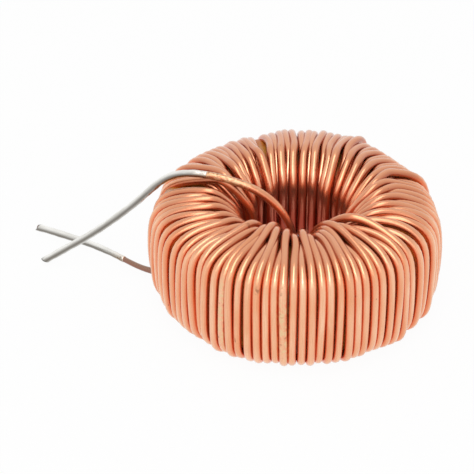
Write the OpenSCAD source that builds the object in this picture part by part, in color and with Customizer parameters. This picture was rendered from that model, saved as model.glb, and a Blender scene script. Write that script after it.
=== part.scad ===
// Toroidal inductor: a coated iron-powder ring wound by hand with one length of enamelled copper
// wire. The ring's axis is Z, and the winding rests on the plane z = 0. The wire passes up through
// the bore and over the top to the outer wall, then down and back under the ring to the next
// passage. In the bore every second passage lies on top of its neighbours, in a second layer.

/* [Ring] */
// Outer diameter of the ring, over its coating
core_od = 33; // [30:0.5:48]
// Bore of the ring, over its coating
core_id = 16.3; // [15.5:0.1:17.2]
// Height of the ring, over its coating
core_h = 11.1; // [10:0.1:20]
// Radius of the ring's edges
core_edge_r = 1.6; // [1.4:0.1:1.8]
// Thickness of the coating
coat_t = 0.3; // [0.1:0.05:0.5]

/* [Wire] */
// Diameter of the wire over its enamel
wire_d = 0.9; // [0.85:0.05:1]
// Thickness of the enamel, which is stripped from both lead ends
enamel_t = 0.035; // [0.02:0.005:0.05]
// Thickness of the solder on the stripped ends
tin_t = 0.05; // [0.03:0.01:0.1]

/* [Winding] */
// Arc of the ring that the winding covers
winding_arc = 352; // [300:1:354]
// Air between the lower layer and the bore
bore_seat = 0.06; // [0.05:0.01:0.2]
// Air between the straight runs and the ring's faces and outer wall
face_seat = 0.2; // [0.19:0.01:0.4]
// Air between turns of the upper layer in the bore, where they stand closest
turn_gap = 0.07; // [0.06:0.01:0.4]
// Bend radius of the lower layer at the bore
inner_bend = 2; // [1.9:0.1:2.2]
// Bend radius at the outer wall
outer_bend = 2.4; // [2.2:0.1:2.5]
// Slope at which an upper-layer turn climbs towards the bore
climb = 5; // [5:0.1:7]
// How far a turn strays sideways at the outer wall
stray = 0.12; // [0:0.01:0.15]
// How far the slackest turn stands off the outer wall
slack = 0.35; // [0:0.05:0.6]

/* [Leads] */
// Direction of the side where the two leads come out
lead_side = 172; // [0:1:359]
// How far the last passage bows past the ring's axis
bow_past_axis = 0.2; // [-2:0.1:1]
// Radius of the upper half of that bow
bow_r = 8.3; // [7.5:0.1:9]
// Upward slope of the finish lead as it leaves the bore
finish_rise = 5; // [3:1:8]
// Distance inside the outer wall at which the finish lead bends down
drop_inset = 3.7; // [3.4:0.1:3.8]
// Share of the finish lead's straight run on top of the winding that keeps its enamel
finish_enamelled = 0.6; // [0.4:0.05:0.8]
// Radius of that bend
finish_bend = 6; // [5:0.5:8]
// Slope at which the finish lead drops beside the winding
finish_drop = 44; // [35:1:50]
// Length of the drop
finish_drop_run = 13.6; // [8:0.1:14]
// How much flatter the last stretch of the finish lead is
finish_ease = 10; // [5:1:15]
// Length of that last straight stretch
finish_tip = 4.5; // [3:0.1:5]
// Angle by which the start lead turns aside outside the winding
start_swing = 24; // [10:1:40]
// Radius of that turn
start_bend = 3.5; // [3:0.5:8]
// Enamelled length of the start lead after the turn
start_enamelled = 1.4; // [1:0.1:6]
// Tinned length of the start lead
start_tinned = 14.5; // [6:0.5:20]

/* [Hidden] */
$fn = 24;

wire_r = wire_d / 2;
bare_r = wire_r - enamel_t;
tin_r = bare_r + tin_t;

// The winding is swept with flat sides. Their corners stand a little outside the round wire, and
// those of the stripped ends stand inside the solder.
wire_sides = 6;
corner_r = 1.05 * wire_r;
bare_corner_r = bare_r - 0.06;
// where a bend has only few rings of corners, the middle one is pushed out along its radius
chord_push = 1.06;
// the two rings of a bend below the bore stand on its tangents, this far round from either end
tangent_ring = 18;
// largest turn of a lead from one ring of corners to the next
lead_step = 15;

// a straight of solder is this much thinner than its bends and reaches this far into them
join_step = 0.003;
join_lap = 0.04;
clear = 0.01;

// layers in the bore, as radii of the wire's centre line
lower_r = core_id / 2 - bore_seat - wire_r;
layer_step = 0.9 * wire_d;
upper_r = lower_r - layer_step;
wall_r = core_od / 2 + face_seat + wire_r;

// one step of the winding round the ring, as small as the turns of the upper layer allow
closest_pitch = asin((wire_d + turn_gap) / (2 * upper_r));
steps = 2 * floor(winding_arc / closest_pitch / 2);
pitch = winding_arc / steps;
first_angle = lead_side + (360 - winding_arc) / 2;

// heights above the ring's middle plane
face_z = core_h / 2 + face_seat + wire_r;
bore_bend_z = face_z - inner_bend;
apex_z = face_z + layer_step;
half_height = bore_bend_z + sin(90 + climb - tangent_ring)
    * ((inner_bend + layer_step) / cos(tangent_ring) + corner_r);

// which turns lie in the upper layer of the bore, and what that does to their bends
function upper(i) = i % 2 != 0;
function bore_r(i) = upper(i) ? upper_r : lower_r;
function bore_bend(i) = upper(i) ? inner_bend + layer_step : inner_bend;
function slope(i) = upper(i) ? climb : 0;

// an uneven value from -1 to 1 for each turn, the mark of winding by hand
function uneven(i) = 0.6 * sin(i * 137.5) + 0.4 * sin(i * 61.3 + 20);

// places of the passages in the bore and along the outer wall, seen from above
function angle(i) = first_angle + i * pitch;
function on_circle(r, a) = [r * cos(a), r * sin(a)];
function bore_at(i) = on_circle(bore_r(i), angle(i));
function wall_at(i) =
    let (r = wall_r + slack * pow(uneven(i + 7), 2))
    on_circle(r, angle(i) + asin(stray * uneven(i) / r));

// length of the straight between the two bends on a face, where turn i spans that way
function face_run(span, i) =
    (span - bore_bend(i) * (1 + sin(slope(i))) - outer_bend * (1 - sin(slope(i)))) / cos(slope(i));
// height of the centre of its bend at the wall
function wall_bend_z(span, i) =
    bore_bend_z + (bore_bend(i) - outer_bend) * cos(slope(i)) - face_run(span, i) * sin(slope(i));

// A frame is [place, side, outside, radius] of one ring of corners. The wire runs along the cross
// product of side and outside, and side points round the ring's axis.
function frame_at(xy, z, out, up, radius = corner_r) =
    let (away = xy / norm(xy))
    [[xy[0], xy[1], z], [-away[1], away[0], 0], [out * away[0], out * away[1], up], radius];

// A frame on the way of turn i across a face. level is 1 on top and -1 below, phi is the angle
// turned since the bore, and push moves the frame out along the radius of its bend.
function bore_frame(i, from, to, level, phi, push = 1) =
    let (
        bend = bore_bend(i),
        reach = bend * (1 - push * cos(phi)),
        xy = from + reach * (to - from) / norm(to - from)
    )
    frame_at(xy, level * (bore_bend_z + push * bend * sin(phi)), -cos(phi), level * sin(phi));
function wall_frame(i, from, to, level, phi, push = 1) =
    let (
        span = norm(to - from),
        reach = span - outer_bend * (1 + push * cos(phi)),
        z = wall_bend_z(span, i) + push * outer_bend * sin(phi),
        xy = from + reach * (to - from) / span
    )
    frame_at(xy, level * z, -cos(phi), level * sin(phi));

// turn i over the top, from the bore out to the wall
function over_frames(i) =
    let (bore = bore_at(i), wall = wall_at(i), top = 90 + slope(i))
    [
        bore_frame(i, bore, wall, 1, 0),
        bore_frame(i, bore, wall, 1, top / 2, chord_push),
        bore_frame(i, bore, wall, 1, top),
        wall_frame(i, bore, wall, 1, top),
        wall_frame(i, bore, wall, 1, (top + 180) / 2, chord_push),
        wall_frame(i, bore, wall, 1, 180)
    ];

// turn i on its way in below the ring, from the wall leg before it to the bore
function under_frames(i) =
    let (bore = bore_at(i), wall = wall_at(i - 1), top = 90 + slope(i))
    [
        wall_frame(i, bore, wall, -1, 180),
        wall_frame(i, bore, wall, -1, (top + 180) / 2, chord_push),
        wall_frame(i, bore, wall, -1, top),
        bore_frame(i, bore, wall, -1, top - tangent_ring, 1 / cos(tangent_ring)),
        bore_frame(i, bore, wall, -1, tangent_ring, 1 / cos(tangent_ring))
    ];

// The two leads follow routes. Each stretch of a route is [length, 0] for a straight, or
// [radius, angle, roll] for a bend. The last passage bows through the bore and becomes the
// finish lead.
last = steps + 1;
finish_xy = wall_at(steps);
finish_span = norm(bore_at(last) - finish_xy);
finish_way = (bore_at(last) - finish_xy) / finish_span;
over_z = face_z + layer_step + clear;
low_bow_r = over_z + apex_z - bow_r * cos(finish_rise);
bore_reach = bow_past_axis - finish_xy * finish_way - low_bow_r - finish_span + bore_bend(last);
top_run = (bow_past_axis - bow_r * (1 - sin(finish_rise)) - finish_xy * finish_way - drop_inset)
    / cos(finish_rise);
finish_route = [
    [outer_bend, 90 - climb, 0],
    [face_run(finish_span, last), 0],
    [bore_bend(last), climb, 0],
    [bore_reach, 0],
    [low_bow_r, 90, 0],
    [bow_r, 90 - finish_rise, 0],
    [finish_enamelled * top_run, 0],
    [(1 - finish_enamelled) * top_run, 0],
    [finish_bend, finish_rise + finish_drop, 0],
    [finish_drop_run, 0],
    [finish_bend, finish_ease, 180],
    [finish_tip, 0]
];
finish_stripped = 7;

// The start lead runs out below the ring at the level of the lower layer, then turns aside.
start_span = norm(wall_at(-1) - bore_at(0));
start_way = (wall_at(-1) - bore_at(0)) / start_span;
start_route = [
    [start_span - inner_bend + wire_d, 0],
    [start_bend, start_swing, 90],
    [start_enamelled, 0],
    [start_tinned, 0]
];
start_stripped = 3;

// Rings of corners along a route, as [place, way, aim, radius], where way is the direction of the
// route and aim the side to which a bend with roll 0 turns.
function rolled(way, aim, roll) = cos(roll) * aim + sin(roll) * cross(way, aim);
function turned(from, bend, angle, roll) =
    let (
        aim = rolled(from[1], from[2], roll),
        way = cos(angle) * from[1] + sin(angle) * aim
    )
    [
        from[0] + bend * (sin(angle) * from[1] + (1 - cos(angle)) * aim),
        way,
        rolled(way, cos(angle) * aim - sin(angle) * from[1], -roll)
    ];
function route_rings(route, from, stripped, k = 0) =
    k == len(route) ? [] :
    let (
        size = route[k][0],
        angle = route[k][1],
        count = max(1, ceil(angle / lead_step)),
        places = [
            for (j = [1:count])
                angle == 0
                    ? [from[0] + size * from[1], from[1], from[2]]
                    : turned(from, size, angle * j / count, route[k][2])
        ],
        end = places[count - 1]
    )
    concat(
        [for (p = places) concat(p, k < stripped ? corner_r : bare_corner_r)],
        k == stripped - 1 ? [concat(end, bare_corner_r)] : [],
        route_rings(route, end, stripped, k + 1)
    );

// where the two routes begin, as [place, way, aim]
start_xy = bore_at(0) + inner_bend * start_way;
start_from = [[start_xy[0], start_xy[1], -face_z], [start_way[0], start_way[1], 0], [0, 0, 1]];
finish_z = -wall_bend_z(finish_span, last);
finish_begin = [[finish_xy[0], finish_xy[1], finish_z], [0, 0, -1], [finish_way[0], finish_way[1], 0]];

start_rings = route_rings(start_route, start_from, start_stripped);
start_frames = [
    for (k = [len(start_rings) - 1:-1:0])
        let (r = start_rings[k]) [r[0], cross(r[2], r[1]), -r[2], r[3]],
    bore_frame(0, bore_at(0), wall_at(-1), -1, 90 - tangent_ring, 1 / cos(tangent_ring)),
    bore_frame(0, bore_at(0), wall_at(-1), -1, tangent_ring, 1 / cos(tangent_ring))
];
finish_rings = route_rings(finish_route, finish_begin, finish_stripped);
finish_frames = [
    for (r = concat([concat(finish_begin, corner_r)], finish_rings))
        [r[0], cross(r[1], r[2]), -r[2], r[3]]
];

// the whole wire
frames = [
    each start_frames,
    each [for (i = [0:steps]) each [each over_frames(i), each i < steps ? under_frames(i + 1) : []]],
    each finish_frames
];

// A solid swept through frames, with its two ends closed.
module sweep(frames) {
    n = wire_sides;
    count = len(frames);
    points = [
        for (f = frames, k = [0:n - 1])
            f[0] + f[3] * (cos(360 * k / n) * f[2] + sin(360 * k / n) * f[1])
    ];
    sides = [
        for (j = [0:count - 2], k = [0:n - 1])
            let (a = j * n + k, b = j * n + (k + 1) % n)
            each [[a, b, b + n], [a, b + n, a + n]]
    ];
    begin = [for (k = [1:n - 2]) [0, k + 1, k]];
    end = [for (k = [1:n - 2]) [(count - 1) * n, (count - 1) * n + k, (count - 1) * n + k + 1]];
    polyhedron(points, concat(sides, begin, end));
}

// A straight length of round wire from the origin along +Z, with a lap before and after it.
module straight(length, r, before, after) {
    translate([0, 0, -before])
        cylinder(r = r - join_step, h = length + before + after);
}

// A length of round wire from the origin along +Z that bends towards +X.
module bend(radius, turn, r) {
    translate([radius, 0, 0])
        rotate([-90, 180, 0])
            rotate_extrude(angle = turn)
                translate([radius, 0])
                    circle(r);
}

// Round wire along the stretches of a route from the first one given on, and past both ends.
module round_wire(route, r, first, past, k = 0) {
    if (k < len(route)) {
        size = route[k][0];
        turn = route[k][1];
        if (turn == 0) {
            if (k >= first)
                straight(size, r, k == first ? past : join_lap, k == len(route) - 1 ? past : join_lap);
            translate([0, 0, size])
                round_wire(route, r, first, past, k + 1);
        } else {
            rotate([0, 0, route[k][2]]) {
                if (k >= first) bend(size, turn, r);
                translate([size, 0, 0])
                    rotate([0, turn, 0])
                        translate([-size, 0, 0])
                            rotate([0, 0, -route[k][2]])
                                round_wire(route, r, first, past, k + 1);
            }
        }
    }
}

// Solder around the stripped end of a lead, whose route sets out from a place in a direction.
module tinning(route, first, place, direction) {
    translate(place)
        rotate(direction)
            difference() {
                round_wire(route, tin_r, first, -clear);
                round_wire(route, bare_r, first, join_lap);
            }
}

// The ring's section, with its edges rounded, shrunk by an inset.
module ring(inset) {
    width = (core_od - core_id) / 2 - 2 * inset;
    height = core_h - 2 * inset;
    r = core_edge_r - inset;
    rotate_extrude($fn = 96)
        translate([(core_od + core_id) / 4, 0]) {
            square([width - 2 * r, height], center = true);
            square([width, height - 2 * r], center = true);
            for (x = [-1, 1], y = [-1, 1])
                translate([x * (width / 2 - r), y * (height / 2 - r)])
                    circle(r);
        }
}

// Lifts the model from its middle plane, so that the winding rests on z = 0.
module resting() {
    translate([0, 0, half_height])
        children();
}

// Pressed and baked iron powder.
module core_ring() {
    color("dimgray")
        resting()
            ring(coat_t);
}

// The epoxy coat that insulates the ring, seen as gold between slack turns.
module core_coating() {
    color("goldenrod")
        resting()
            difference() {
                ring(0);
                ring(coat_t);
            }
}

// The whole length of wire, from the start lead's end to the finish lead's end.
module winding() {
    color("peru")
        resting()
            sweep(frames);
}

module start_lead_tinning() {
    color("silver")
        resting()
            tinning(start_route, start_stripped, start_from[0],
                    [0, -90, 180 + atan2(start_way[1], start_way[0])]);
}

module finish_lead_tinning() {
    color("silver")
        resting()
            tinning(finish_route, finish_stripped, finish_begin[0],
                    [180, 0, atan2(finish_way[1], finish_way[0])]);
}

core_ring();
core_coating();
winding();
start_lead_tinning();
finish_lead_tinning();
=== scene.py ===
import math

import bpy
import numpy as np
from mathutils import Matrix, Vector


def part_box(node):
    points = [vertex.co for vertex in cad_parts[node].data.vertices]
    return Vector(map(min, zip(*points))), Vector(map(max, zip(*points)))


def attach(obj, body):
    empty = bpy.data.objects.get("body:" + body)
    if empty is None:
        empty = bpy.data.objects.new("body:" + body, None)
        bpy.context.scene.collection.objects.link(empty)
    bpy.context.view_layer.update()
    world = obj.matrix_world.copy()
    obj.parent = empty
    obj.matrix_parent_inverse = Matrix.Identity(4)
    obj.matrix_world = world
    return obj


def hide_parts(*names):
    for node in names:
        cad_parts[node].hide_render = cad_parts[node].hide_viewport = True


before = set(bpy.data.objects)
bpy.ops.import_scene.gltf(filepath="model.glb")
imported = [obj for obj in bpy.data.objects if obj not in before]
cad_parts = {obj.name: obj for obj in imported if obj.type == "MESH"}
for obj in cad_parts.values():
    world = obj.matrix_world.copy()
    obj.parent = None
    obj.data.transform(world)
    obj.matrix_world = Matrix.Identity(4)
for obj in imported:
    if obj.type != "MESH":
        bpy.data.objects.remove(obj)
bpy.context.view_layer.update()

MM = 0.001


# ---------------------------------------------------------------------------
# Ring core: iron powder pressed and baked to a grey ring, under a coat of gold
# yellow epoxy that shows between slack turns. Both are sound solids as they
# stand and only get their finish here.
# ---------------------------------------------------------------------------

class Socket:
    """A node's output wrapped so that arithmetic on it adds Math nodes."""

    def __init__(self, shader, out):
        self.shader, self.out = shader, out

    def _math(self, operation, *values):
        return self.shader.add("ShaderNodeMath", {"operation": operation}, *values)

    def __add__(self, other): return self._math("ADD", self, other)
    def __radd__(self, other): return self._math("ADD", other, self)
    def __sub__(self, other): return self._math("SUBTRACT", self, other)
    def __rsub__(self, other): return self._math("SUBTRACT", other, self)
    def __mul__(self, other): return self._math("MULTIPLY", self, other)
    def __rmul__(self, other): return self._math("MULTIPLY", other, self)
    def __pow__(self, other): return self._math("POWER", self, other)
    def __abs__(self): return self._math("ABSOLUTE", self)

    def clamped(self):
        return self.shader.add("ShaderNodeClamp", {}, self, 0.0, 1.0)

    def ramp(self, low, high):
        """0 below low, 1 above high and a smooth step between."""
        return self.shader.add("ShaderNodeMapRange", {"interpolation_type": "SMOOTHSTEP"},
                               self, low, high, 0.0, 1.0)

    def flanks(self, power):
        """For a share round a wire: 0 along its crest and its foot, 1 on both flanks, as
        the square of the sine of the angle, raised to a power."""
        sine = self._math("SINE", self * (2 * math.pi))
        return (sine * sine) ** power


class Shader:
    """A material with one Principled surface, whose other nodes are made by add()."""

    def __init__(self, name, **fixed):
        self.material = bpy.data.materials.new(name)
        self.material.use_nodes = True
        self.tree = self.material.node_tree
        self.surface = self.tree.nodes["Principled BSDF"]
        for socket, value in fixed.items():
            self.set(socket.replace("_", " "), value)

    def add(self, kind, settings, *values, output=0, **named):
        """One node: its settings first, then the values or links of its inputs."""
        node = self.tree.nodes.new(kind)
        for key, value in settings.items():
            setattr(node, key, value)
        for key, value in list(enumerate(values)) + list(named.items()):
            self._feed(node.inputs[key], value)
        return Socket(self, node.outputs[output])

    def _feed(self, entry, value):
        if isinstance(value, Socket):
            self.tree.links.new(value.out, entry)
        else:
            entry.default_value = value

    def set(self, name, value):
        self._feed(self.surface.inputs[name], value)

    def place(self):
        return self.add("ShaderNodeTexCoord", {}, output="Object")

    def parts(self, vector):
        """The three parts of a vector, each as its own output."""
        node = self.tree.nodes.new("ShaderNodeSeparateXYZ")
        self._feed(node.inputs[0], vector)
        return [Socket(self, out) for out in node.outputs]

    def stretched(self, vector, scale):
        """The vector with its three parts multiplied by a fixed scale."""
        return self.add("ShaderNodeVectorMath", {"operation": "MULTIPLY"}, vector, scale)

    def distance(self, vector, point):
        """How far the vector's end lies from a fixed point."""
        return self.add("ShaderNodeVectorMath", {"operation": "DISTANCE"}, vector, point,
                        output="Value")

    def noise(self, vector, scale, detail=3.0, roughness=0.5):
        return self.add("ShaderNodeTexNoise", {}, Vector=vector, Scale=scale, Detail=detail,
                        Roughness=roughness)

    def mix(self, factor, a, b):
        """Colour a where the factor is 0 and b where it is 1."""
        node = self.tree.nodes.new("ShaderNodeMix")
        node.data_type = "RGBA"
        for key, value in ((0, factor), (6, a), (7, b)):
            self._feed(node.inputs[key], value)
        return Socket(self, node.outputs[2])

    def bump(self, height, distance):
        return self.add("ShaderNodeBump", {}, Height=height, Distance=distance, Strength=1.0)


def colour(red, green, blue):
    """A colour in linear light from its display values of 0 to 255: ((v + 0.055) / 1.055)
    to the power 2.4 for a value v of 0 to 1, and v / 12.92 for the darkest."""
    return tuple(((v / 255 + 0.055) / 1.055) ** 2.4 if v > 10 else v / 255 / 12.92
                 for v in (red, green, blue)) + (1.0,)


powder = Shader("pressed_iron_powder", Metallic=0.3, Roughness=0.75)
grain = powder.noise(powder.place(), 4000, 2)
powder.set("Base Color", powder.mix(grain, colour(70, 66, 62), colour(108, 102, 96)))
powder.set("Normal", powder.bump(grain, 0.03 * MM))
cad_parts["core_ring"].material_slots[0].material = powder.material

epoxy = Shader("yellow_epoxy", Coat_Weight=0.4, Coat_Roughness=0.15)
amber, gold = colour(190, 98, 32), colour(208, 144, 46)
mottle = epoxy.noise(epoxy.place(), 500, 4)
epoxy.set("Base Color", epoxy.mix(mottle.ramp(0.3, 0.7), amber, gold))
epoxy.set("Roughness", mottle * 0.2 + 0.3)
epoxy.set("Normal", epoxy.bump(epoxy.noise(epoxy.place(), 1500, 2), 0.02 * MM))
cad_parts["core_coating"].material_slots[0].material = epoxy.material


# ---------------------------------------------------------------------------
# Winding: one length of 0.9 mm copper wire under a clear enamel, threaded
# through the bore by hand. In the bore its passages pile up in layers; outside,
# the turns lean and stray a little. Lengths are in millimetres, angles in degrees.
# ---------------------------------------------------------------------------

ring_lo, ring_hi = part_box("core_coating")
ring_r = ring_hi[0] / MM
mid_z = (ring_lo[2] + ring_hi[2]) / 2 / MM
face = (ring_hi[2] - ring_lo[2]) / 2 / MM
bore_r = 8.15
# radius of the wire as it shows, and as it counts where passages make room for each other
wire_r = 0.52
laid_r = 0.505
# air between the turns and the ring
seat = 0.12
# direction of the side where the leads come out, and the arc that is left bare there
lead_side = 172.0
uncovered = 5.0
# where the coat shows between two turns at the back left
gap_angle = 106.0
rng = np.random.default_rng(17)


def spline(points, steps):
    """A uniform cubic B-spline: each stretch blends four control rows with the basis
    (1-t)^3, 3t^3-6t^2+4, -3t^3+3t^2+3t+1 and t^3, all over 6. The ends are reached by
    mirroring the second row through the first."""
    rows = np.vstack([2 * points[0] - points[1], points, 2 * points[-1] - points[-2]])
    t = np.arange(steps) / steps
    basis = np.stack([(1 - t) ** 3, 3 * t ** 3 - 6 * t ** 2 + 4,
                      -3 * t ** 3 + 3 * t ** 2 + 3 * t + 1, t ** 3]) / 6
    windows = np.stack([rows[k:len(rows) - 3 + k] for k in range(4)])
    curve = np.einsum("kt,knd->ntd", basis, windows).reshape(-1, points.shape[1])
    return np.vstack([curve, points[-1]])


def unit(rows):
    """Each row divided by its own length."""
    return rows / np.linalg.norm(rows, axis=1, keepdims=True)


def length_along(path):
    """Length of a path up to each of its points, as a running sum of its steps."""
    return np.concatenate([[0], np.cumsum(np.linalg.norm(np.diff(path, axis=0), axis=1))])


def linked(name, data):
    """A new object for the data, in the scene, at the origin."""
    thing = bpy.data.objects.new(name, data)
    bpy.context.scene.collection.objects.link(thing)
    return thing


def tube_piece(name, path, beside, radius, sides, cut=None):
    """A mesh of rings round a path: centre + radius (cos a n + sin a s), where s is the
    given side squared to the path and n crosses it. Both ends are closed by a middle
    point; cut slants the last ring along the path by cut times the height across it. The
    UV map holds the length along the path in millimetres and the share of the way round."""
    along = unit(np.gradient(path, axis=0))
    side = unit(beside - np.sum(beside * along, axis=1, keepdims=True) * along)
    across = np.cross(side, along)
    turn = np.arange(sides) * 2 * math.pi / sides
    spokes = (np.cos(turn)[None, :, None] * across[:, None]
              + np.sin(turn)[None, :, None] * side[:, None])
    rings = path[:, None] + radius[:, None, None] * spokes
    if cut is not None:
        rings[-1] += (cut * radius[-1] * np.cos(turn))[:, None] * along[-1]
    count = len(path)
    points = np.vstack([rings.reshape(-1, 3), path[0], rings[-1].mean(axis=0)]) * MM

    row = np.arange(count - 1)[:, None] * sides
    k = np.arange(sides)[None, :]
    nxt = (k + 1) % sides
    quads = np.stack([row + k, row + nxt, row + sides + nxt, row + sides + k], axis=-1)
    last = (count - 1) * sides
    around, after = k[0], nxt[0]
    first_cap = np.stack([after, around, np.full(sides, count * sides)], axis=1)
    last_cap = np.stack([last + around, last + after, np.full(sides, count * sides + 1)], axis=1)
    mesh = bpy.data.meshes.new(name)
    mesh.from_pydata(points, [], quads.reshape(-1, 4).tolist() + first_cap.tolist()
                     + last_cap.tolist())

    length = length_along(path)
    here, there = (np.broadcast_to(end[:, None], (count - 1, sides))
                   for end in (length[:-1], length[1:]))
    caps = 3 * sides
    u = np.concatenate([np.stack([here, here, there, there], axis=-1).ravel(),
                        np.zeros(caps), np.full(caps, length[-1])])
    v = np.concatenate([np.broadcast_to(np.stack([k, k + 1, k + 1, k], axis=-1) / sides,
                                        (count - 1, sides, 4)).ravel(), np.zeros(2 * caps)])
    uv = mesh.uv_layers.new(name="UVMap")
    uv.data.foreach_set("uv", np.stack([u, v], axis=1).ravel().astype(np.float32))
    mesh.shade_smooth()
    mesh.update()
    return linked(name, mesh)


def polar(r, degrees):
    """Plan x and y of a point: r times the cosine and the sine of its angle."""
    a = np.radians(degrees)
    return np.stack([r * np.cos(a), r * np.sin(a)], axis=-1)


def by_angle(*rows):
    """Values at the turns' angles on the wall, from (angle, value) rows that straight
    lines join."""
    at, value = np.array(rows).T
    return np.interp(wall_angle, at, value)


def turn_at(angle):
    """Number of the turn nearest to an angle on the wall."""
    return np.argmin(np.abs(wall_angle - angle))


# where each turn lies on the outer wall, counted round from the leads: evenly at the back,
# and in front with the uneven gaps of a winding done by hand
front_wall = np.array([
    -164.2, -158.5, -153.4, -147.6, -143.3, -139.5, -136.0, -132.8, -129.4, -124.9, -121.0,
    -117.8, -114.2, -109.9, -106.5, -103.0, -99.6, -96.2, -92.6, -88.9, -85.3, -81.7, -78.3,
    -74.4, -70.6, -67.2, -63.8, -59.8, -56.3, -52.1, -48.0, -44.0, -39.8, -34.8, -29.5, -23.3])
left_wall = np.linspace(lead_side - 360 + uncovered / 2 - 4, front_wall[0], 7)[:-1]
back_turns = 48
back_wall = np.interp(np.arange(back_turns) + 1, (0, 20, 40, back_turns),
                      (front_wall[-1], 62, 133, lead_side - uncovered / 2))
wall_angle = np.concatenate([left_wall, front_wall, back_wall])
count = len(wall_angle)
wall_angle[-back_turns:] += rng.normal(0, 0.25, back_turns)
# how far the turn's end on the wall runs ahead of its passage through the bore
lean = by_angle(
    (-186, -4), (-170, -9), (-165, -11), (-158, -10), (-144, -8), (-138, -11), (-132, -10),
    (-122, -7), (-115, -5), (-107, 1), (-100, 4), (-96, 1.5), (-89, 3), (-82, 3.5), (-78, 3.5),
    (-67, 9), (-60, 12.5), (-52, 16.5), (-47, 18.5), (-40, 22), (-30, 24.5), (-19, 22.6),
    (-7, 19), (0, 16), (17, 21), (22, 19), (41, 14), (52, 12), (64, 11.5), (71, 8.5), (77, 5),
    (85, 1.5), (90, -1.5), (95, -4), (101, -7), (113, -8), (118, -10), (125, -13), (131, -16),
    (147, -17), (160, -12), (170, -5))
bore_angle = wall_angle - lean + rng.normal(0, 0.7, count)
front_bore = np.array([
    -110.0, -108.0, -107.0, -104.5, -99.5, -97.5, -93.5, -91.0, -87.0, -84.5, -80.5, -78.5,
    -76.0, -73.5, -71.5, -70.5])
bore_angle[turn_at(-114.2):][:len(front_bore)] = front_bore
# at the back left two turns have slid apart on the face and show the coat between them
from_gap = wall_angle - gap_angle
parted = np.sign(from_gap) * np.clip(1 - np.abs(from_gap) / 25, 0, 1)
wall_angle += 0.6 * parted

# a passage lies in the first layer whose last wire leaves it room, or where it has most
layer_r = bore_r - 0.05 - laid_r * np.array([1.0, 2.7, 4.35, 6.0])
layer = np.zeros(count, int)
last_in = np.full(len(layer_r), -999.0)
for k, angle in enumerate(bore_angle):
    room = np.radians(angle - last_in) * layer_r / (2 * laid_r)
    fits = np.flatnonzero(room > 0.95)
    layer[k] = fits[0] if len(fits) else np.argmax(room)
    last_in[layer[k]] = angle
layer[turn_at(-74.4)] = 1
bore_at_r = layer_r[layer]

# how far a turn stands off the wall and off the top; two stand proud of the rest, at the
# back and on the right, and one in front is drawn in under its neighbours
slack = np.abs(rng.normal(0, 0.13, count))
slack[turn_at(-132.8)] = -0.3
top_extra = np.abs(rng.normal(0, 0.16, count))
for angle, proud in ((56.0, 0.6), (20.0, 0.7)):
    slack[turn_at(angle)] = proud * 0.6
    top_extra[turn_at(angle)] = proud
# sideways waver of a turn at the rim, at mid-face and at the shoulder, in degrees
waver = rng.normal(0, 1, (3, count)) * np.array([[1.2], [1.1], [0.5]])
waver[1] += 1.0 * parted
waver[2] += 1.5 * parted
beside_gap = np.argsort(np.abs(from_gap))[:2]
waver[:, beside_gap] = np.sign(from_gap[beside_gap]) * np.array([[1.0], [2.2], [2.2]])
# how wide the turns round the outer edges, above and below
top_round = by_angle((-180, 1.2), (-120, 1.0), (-60, 1.0), (-20, 1.2), (0, 1.5), (20, 1.6),
                     (45, 1.4), (65, 1.0), (92, 1.0), (105, 1.3), (180, 1.4))
low_round = by_angle((-180, 1.15), (-150, 1.0), (-125, 0.85), (-105, 0.78), (-72, 0.78),
                     (-58, 0.85), (-45, 0.85), (-20, 0.9), (0, 1.0), (180, 1.15))
# how high the outer edge stands, and how much of the piling up at the bore reaches out to it
brim = by_angle((-180, -0.2), (-150, -0.1), (-120, 0), (-20, 0), (0, -0.2), (20, -0.3),
                (62, -0.2), (75, -0.2), (92, -0.2), (105, -0.3), (176, -0.3))
pile = by_angle((-180, 0.7), (-130, 0.5), (-100, 0.35), (-75, 0.7), (-50, 1.0), (50, 1.0),
                (75, 0.4), (125, 0.3), (176, 0.7))
# how far a turn sags below the ring, more for a few that hang loose in front
sag = rng.normal(0, 0.16, count)
for angle, drop in ((-124.9, 0.35), (-44.0, 0.5), (-39.8, -0.3), (-23.3, 0.6), (-18.0, -0.4)):
    sag[turn_at(angle)] = drop
# lean of a turn on the wall, least in front
tilt = rng.normal(0, 1, count) * by_angle((-180, 0.5), (-130, 0.2), (-50, 0.2), (-20, 0.5),
                                          (180, 0.4))
wall_at_r = ring_r + wire_r + seat + slack
# share of the swing from the bore's angle to the wall's that a turn has made at the rim, at
# mid-face and at the shoulder: early on the right, late on the left, even at the back
swing = np.stack([
    by_angle((-180, 0.05), (-110, 0.1), (-80, 0.3), (100, 0.33), (180, 0.3)),
    by_angle((-180, 0.25), (-110, 0.4), (-80, 0.8), (60, 0.84), (100, 0.62), (180, 0.6)),
    by_angle((-180, 0.65), (-110, 0.75), (-80, 0.95), (60, 0.97), (100, 0.85), (180, 0.85))])


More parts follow.
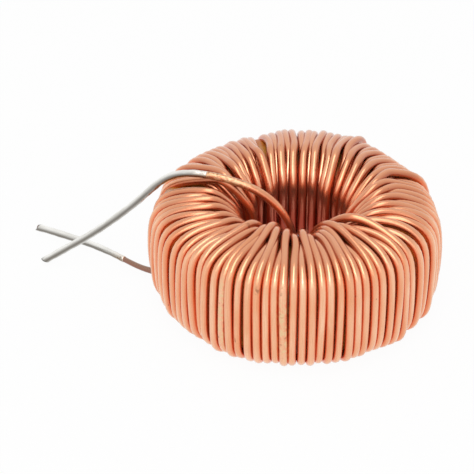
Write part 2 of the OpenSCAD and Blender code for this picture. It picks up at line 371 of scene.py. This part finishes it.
def face_points(bore, wall, level, layer, rise, edge, swing, waver, brim, pile):
    """Control rows over one face from the bore to the wall, for every turn at once. bore and
    wall hold a radius and an angle. Each row lies at a distance from the bore, at a share of
    the swing and at a height; the corners are cut so that the spline rounds them."""
    (bore_radius, bore_turn), (wall_radius, wall_turn) = bore, wall
    span = wall_radius - bore_radius
    high = face + wire_r + seat + np.interp(layer, range(4), (0, 0.75, 1.3, 1.8)) + rise
    low = face + wire_r + 0.4 + rise + brim
    cut_in = 2.4 + 0.5 * layer
    rows = [
        # distance from the bore, share of the swing, waver, height
        (0 * span, 0, 0, high - cut_in - 2.4),
        (0 * span, 0, 0, high - cut_in),
        (cut_in * 0.9, swing[0], waver[0], high),
        (span * 0.42, swing[1], waver[1], low + 0.3 + pile * (high - low) * 0.75),
        (span - 3.1 * edge, swing[2], waver[2], low + 0.12 + 0.25 * pile * np.minimum(layer, 1)),
        (span - 0.48 * edge, 1, 0, low - 0.75 * edge),
        (span, 1, 0, low - 3.5 * edge),
    ]
    out = []
    for way, share, aside, height in rows:
        plan = polar(bore_radius + way, bore_turn + share * (wall_turn - bore_turn) + aside)
        out.append(np.column_stack([plan, level * height]))
    return np.stack(out, axis=1)


# a hoop goes from its passage over the top, down the wall and below the ring to the next
hoop = slice(1, -1)
after = slice(2, None)
over = face_points((bore_at_r[hoop], bore_angle[hoop]),
                   (wall_at_r[hoop], wall_angle[hoop] + tilt[hoop]), 1, layer[hoop],
                   top_extra[hoop], top_round[hoop], swing[:, hoop], waver[:, hoop],
                   brim[hoop], pile[hoop])
under = face_points((bore_at_r[after], bore_angle[after]),
                    (wall_at_r[hoop], wall_angle[hoop] - tilt[hoop]), -1, layer[after] * 0.6,
                    sag[hoop], low_round[hoop], swing[:, hoop], 0 * waver[:, hoop],
                    0, pile[hoop])[:, ::-1]
# the ring rests on its lowest turns, which its weight has pressed level
pressed_from = 6.7
drop = -under[..., 2]
drop = np.where(drop > pressed_from, pressed_from + 0.35 * (drop - pressed_from), drop)
under[..., 2] = -np.minimum(drop, mid_z - wire_r)
hoop_rows = np.concatenate([over, under], axis=1)
rows_each = hoop_rows.shape[1]

# the start lead comes in below the ring to the first passage
start_rows = np.array([
    (-32.9, 12.15, 1.34), (-30.4, 10.9, 1.34), (-27.7, 9.4, 1.34), (-25.0, 7.8, 1.34),
    (-22.4, 5.8, 1.34), (-20.2, 3.8, 1.34), (-18.0, 2.2, 1.34), (-14.5, 1.5, 1.34),
    (-9.9, 1.0, 1.3),
]) - [0, 0, mid_z]
first_passage = polar(bore_at_r[1], bore_angle[1])
start_in = np.array([(*first_passage, 0.6 - face), (*first_passage, 2.6 - face)])
# the last passage bows through the bore, crosses the winding and drops beside it
finish_rows = np.array([
    (-1.1, -0.5, 2.4), (-0.1, -0.85, 5.6), (-0.2, -0.85, 9.0), (-1.5, -0.55, 12.0),
    (-3.6, 0.0, 14.0), (-6.0, 0.6, 15.1), (-9.0, 1.3, 15.75), (-12.3, 2.1, 15.95),
    (-14.9, 2.75, 15.35), (-16.9, 3.3, 13.6), (-19.2, 3.9, 10.7), (-22.0, 4.5, 7.9),
    (-25.2, 5.15, 5.0), (-28.2, 5.4, 2.9), (-31.4, 5.6, 0.7),
]) - [0, 0, mid_z]
finish_rows = np.vstack([hoop_rows[-1][-1] * [0.85, 0.85, 1], finish_rows])
rows = np.vstack([start_rows, start_in, hoop_rows.reshape(-1, 3)[:-3], finish_rows])


def level_side(heading):
    """The level direction square to a heading: (-sin, cos, 0) of its angle."""
    a = math.radians(heading)
    return [-math.sin(a), math.cos(a), 0]


# the side of the wire runs round the ring on the hoops, and lies level across each lead
plan_r = np.linalg.norm(rows[:, :2], axis=1, keepdims=True)
beside = np.column_stack([-rows[:, 1], rows[:, 0], 0 * rows[:, 0]]) / plan_r
beside[:len(start_rows)] = level_side(150)
beside[-len(finish_rows):] = level_side(165)
steps = 4
path = spline(rows, steps) + [0, 0, mid_z]
side = spline(beside, steps)
run = length_along(path)

# where the enamel was stripped and the solder begins, as lengths along the wire
start_tin_end = run[np.flatnonzero(path[:, 0] > -21.6)[0]]
finish_lead = np.flatnonzero(run > run[-1] - 42)
finish_tin_from = run[finish_lead[path[finish_lead, 0] > -10.8][-1]]
# the wire runs on thinner inside the solder, and its leads taper towards it
tin_r = 0.46
stripped_r = 0.33
lap = 0.3
stripped = (run < start_tin_end - lap) | (run > finish_tin_from + lap)
taper = 6
thickness = np.interp(run, (start_tin_end, start_tin_end + 3, start_tin_end + 8),
                      (0.34, 0.36, wire_r))
thickness = np.where(run > finish_tin_from - taper,
                     np.interp(run, (finish_tin_from - taper, finish_tin_from),
                               (wire_r, tin_r - 0.01)), thickness)
winding = tube_piece("wound_wire", path, side, np.where(stripped, stripped_r, thickness), 14)

copper = Shader("enamelled_copper", Coat_Roughness=0.12)
wire_uv = copper.add("ShaderNodeUVMap", {"uv_map": "UVMap"})
along, around, _ = copper.parts(wire_uv)
spot = copper.place()
height = copper.parts(spot)[2]
from_axis = copper.distance(copper.stretched(spot, (1.0, 1.0, 0.0)), (0.0, 0.0, 0.0))
streak = copper.noise(copper.stretched(wire_uv, (0.12, 9.0, 1.0)), 3.0, 4)
tone = copper.noise(copper.stretched(wire_uv, (0.03, 0.0, 1.0)), 3.0, 2)
cloud = copper.noise(spot, 160, 3)
crest = copper.mix(tone.ramp(0.3, 0.7), colour(243, 172, 128), colour(255, 208, 172))
body = copper.mix((streak - 0.5) * 1.3 + (cloud - 0.5) * 0.6 + 0.2, crest,
                  colour(230, 148, 98))
# painted shade: a wire is coloured darker on top of the winding, and deeper and redder on
# its flanks than along its crest, where shade falls between the turns
# how deep a point lies in the bore, which sets the painted shade there
bore_shade = (1.0 - from_axis.ramp(6.8 * MM, 8.8 * MM)) * (1.0 - height.ramp(6.0 * MM, 15.5 * MM))
top_shade = height.ramp(12.5 * MM, 14.2 * MM) * (1.0 - bore_shade)
flank_shade = around.flanks(1.2)
body = copper.mix(top_shade * 0.7, body, colour(210, 138, 98))
body = copper.mix(flank_shade * 0.85, body,
                  copper.mix(top_shade, colour(232, 100, 34), colour(176, 78, 34)))
# painted shade: it is coloured darkest down in the bore, where shade falls
body = copper.mix(bore_shade * 0.92, body, colour(166, 40, 12))
# flux has dulled the enamel beside the solder and left a brown crust on it
dulled = along.ramp(finish_tin_from - 8, finish_tin_from - 2)
flux = copper.noise(copper.stretched(wire_uv, (0.5, 2.0, 1.0)), 2.5, 4).ramp(0.35, 0.6) * dulled
crust = copper.noise(copper.stretched(wire_uv, (0.8, 3.0, 1.0)), 3.0, 4).ramp(0.5, 0.6) * dulled
body = copper.mix(flux * 0.8, body, colour(222, 186, 142))
body = copper.mix(crust * 0.7, body, colour(150, 96, 60))
# knocks have marked it here and there, and most plainly at six places
knock = copper.noise(copper.stretched(wire_uv, (0.3, 2.5, 1.0)), 2.0, 3).ramp(0.735, 0.76)
broken = copper.noise(spot, 2600, 3).ramp(0.42, 0.62)
for x, y, z, size in ((-4.8, -17.1, 12.1, 0.8), (-2.1, -17.5, 12.9, 0.6),
                      (-2.1, -17.5, 9.1, 0.5), (0.7, -17.6, 12.4, 0.6),
                      (-5.7, -8.2, 15.2, 0.6), (2.6, 6.9, 13.2, 0.6)):
    off = copper.distance(spot, (x * MM, y * MM, z * MM))
    knock = knock + (1.0 - off.ramp(0.0, size * MM)) * broken
knock = knock.clamped()
body = copper.mix(knock * 0.85, body, colour(112, 62, 36))
# two turns in front are rubbed pale and pitted down their whole height
rubbed = 0.0
for angle in (-120.5, -96.6):
    wall_row = len(start_rows) + len(start_in) + rows_each * (turn_at(angle) - 1) + 6.5
    middle = run[int(steps * wall_row)]
    rubbed = rubbed + (1.0 - abs(along - middle).ramp(3.0, 6.0))
patch = copper.noise(copper.stretched(wire_uv, (0.5, 1.5, 1.0)), 3.0, 4)
body = copper.mix(rubbed * patch.ramp(0.45, 0.6) * 0.8, body, colour(236, 200, 152))
body = copper.mix(rubbed * (1.0 - patch.ramp(0.3, 0.4)) * 0.7, body, colour(150, 92, 58))
# the start lead is coloured darker and greyer up to the ring
start_darkened = 1.0 - along.ramp(start_tin_end + 4, start_tin_end + 7)
body = copper.mix(start_darkened * 0.85, body, colour(120, 92, 80))
copper.set("Base Color", body)
copper.set("Metallic", 1.0 - bore_shade * 0.3 - flank_shade * 0.25)
copper.set("Roughness", streak * 0.1 + cloud * 0.08 + flux * 0.25 + 0.15)
copper.set("Coat Weight", 0.6 * (1.0 - knock) * (1.0 - bore_shade * 0.9))
copper.set("Normal", copper.bump(streak * 0.4 + cloud * 0.6 - knock, 0.02 * MM))
winding.data.materials.append(copper.material)
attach(winding, "root")
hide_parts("winding")


# ---------------------------------------------------------------------------
# Start lead tinning: a sleeve of solder on the stripped end of the start lead,
# a little uneven, with the end nipped off at a slant.
# ---------------------------------------------------------------------------

def tinned(name, part, cut, thin):
    """A solder sleeve on a part of the wire, given from its enamelled end to its tip. Its
    radius adds two sines of the length and a little noise, whose start the cut sets, and
    takes off thin times exp(-length / 5) towards the enamel."""
    fine = spline(path[part], 3)
    length = length_along(fine)
    swell = (0.014 * np.sin(length * 1.9 + cut) + 0.012 * np.sin(length * 4.3 + 1)
             + rng.normal(0, 0.003, len(length)))
    radius = tin_r + swell - thin * np.exp(-length / 5)
    return tube_piece(name, fine, spline(side[part], 3), radius, 20, cut)


start_tin = tinned("start_solder", np.flatnonzero(run <= start_tin_end)[::-1], 0.7, 0.09)

solder = Shader("solder", Metallic=1.0, Coat_Weight=0.1)
sleeve_uv = solder.add("ShaderNodeUVMap", {"uv_map": "UVMap"})
from_enamel, around, _ = solder.parts(sleeve_uv)
near_enamel = 1.0 - from_enamel.ramp(0.0, 3.0)
drawn = solder.noise(solder.stretched(sleeve_uv, (0.14, 3.0, 1.0)), 2.0, 3)
speck = solder.noise(solder.place(), 900, 2).ramp(0.66, 0.72)
silver = solder.mix(drawn.ramp(0.3, 0.7), colour(226, 224, 218), colour(250, 249, 245))
# painted shade: the sleeve is coloured darker along both flanks than along its crest
silver = solder.mix(around.flanks(1.6) * 0.85, silver, colour(96, 88, 78))
silver = solder.mix(speck * near_enamel, silver, colour(96, 74, 54))
silver = solder.mix(near_enamel * drawn * 0.5, silver, colour(196, 160, 118))
solder.set("Base Color", silver)
solder.set("Roughness", drawn * 0.25 + 0.12)
solder.set("Normal", solder.bump(drawn, 0.02 * MM))
start_tin.data.materials.append(solder.material)
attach(start_tin, "root")
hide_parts("start_lead_tinning")


# ---------------------------------------------------------------------------
# Finish lead tinning: the same solder on the finish lead, from the top of the
# winding down to its tip.
# ---------------------------------------------------------------------------

finish_tin = tinned("finish_solder", np.flatnonzero(run >= finish_tin_from), -0.7, 0.03)
finish_tin.data.materials.append(solder.material)
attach(finish_tin, "root")
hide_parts("finish_lead_tinning")


# ---------------------------------------------------------------------------
# Stage: a plain pale floor, soft lamps and the camera.
# ---------------------------------------------------------------------------

floor_shade = 0.9
floor_white = 0.95
matt = Shader("pale_floor", Roughness=0.9, Specular_IOR_Level=0.0)
matt.set("Base Color", matt.mix(matt.noise(matt.place(), 40, 2), (floor_shade,) * 3 + (1,),
                                (floor_shade * 0.99,) * 3 + (1,)))
# the camera and mirrors see the floor mixed with plain white
rays = matt.tree.nodes.new("ShaderNodeLightPath")
seen = (Socket(matt, rays.outputs["Is Camera Ray"]) + Socket(matt, rays.outputs["Is Glossy Ray"])
        + Socket(matt, rays.outputs["Is Transmission Ray"])).clamped()
plain = matt.add("ShaderNodeEmission", {})
both = matt.add("ShaderNodeMixShader", {}, seen * floor_white,
                Socket(matt, matt.surface.outputs[0]), plain)
matt.tree.links.new(both.out, matt.tree.nodes["Material Output"].inputs["Surface"])

half = 4.0
floor_mesh = bpy.data.meshes.new("floor")
floor_mesh.from_pydata([(-half, -half, 0), (half, -half, 0), (half, half, 0), (-half, half, 0)],
                       [], [(0, 1, 2, 3)])
floor = linked("floor", floor_mesh)
floor.data.materials.append(matt.material)

# the world lights the object at 0.6 and shows itself to the camera and to mirrors at 1
world_light, world_shown = 0.6, 1.0
world = bpy.data.worlds.new("studio")
bpy.context.scene.world = world
world.use_nodes = True
nodes, links = world.node_tree.nodes, world.node_tree.links
rays = nodes.new("ShaderNodeLightPath")
seen = nodes.new("ShaderNodeMath")
links.new(rays.outputs["Is Camera Ray"], seen.inputs[0])
links.new(rays.outputs["Is Glossy Ray"], seen.inputs[1])
seen_through = nodes.new("ShaderNodeMath")
links.new(seen.outputs[0], seen_through.inputs[0])
links.new(rays.outputs["Is Transmission Ray"], seen_through.inputs[1])
strength = nodes.new("ShaderNodeMapRange")
links.new(seen_through.outputs[0], strength.inputs["Value"])
strength.inputs["To Min"].default_value = world_light
strength.inputs["To Max"].default_value = world_shown
background = nodes["Background"]
links.new(strength.outputs[0], background.inputs["Strength"])
background.inputs["Color"].default_value = (1, 1, 1, 1)


def soft_lamp(name, place, aim, size, power):
    """A rectangular lamp turned towards aim: tipped from straight down by the angle between
    the drop and the level way, and turned by the level way's angle less a quarter turn."""
    light = bpy.data.lights.new(name, "AREA")
    light.shape = "RECTANGLE"
    light.size, light.size_y = size
    light.energy = power
    lamp = linked(name, light)
    lamp.location = place
    way = np.array(aim) - np.array(place)
    lamp.rotation_euler = (math.atan2(math.hypot(way[0], way[1]), -way[2]), 0,
                           math.atan2(way[1], way[0]) - math.pi / 2)


soft_lamp("long_lamp", (-0.03, -0.17, 0.40), (-0.005, 0, 0), (0.18, 0.55), 0.75)
soft_lamp("front_lamp", (-0.05, -0.42, 0.26), (-0.005, 0, 0), (0.5, 0.3), 0.25)

camera = linked("camera", bpy.data.cameras.new("camera"))
down = math.radians(34)
distance = 0.210
aim = (-0.0071, 0.0, 0.0080)
camera.location = (aim[0], aim[1] - distance * math.cos(down), aim[2] + distance * math.sin(down))
camera.rotation_euler = (math.pi / 2 - down, 0, 0)
camera.data.lens = 131
camera.data.clip_start = 0.01
bpy.context.scene.camera = camera
bpy.context.scene.view_settings.view_transform = "Standard"
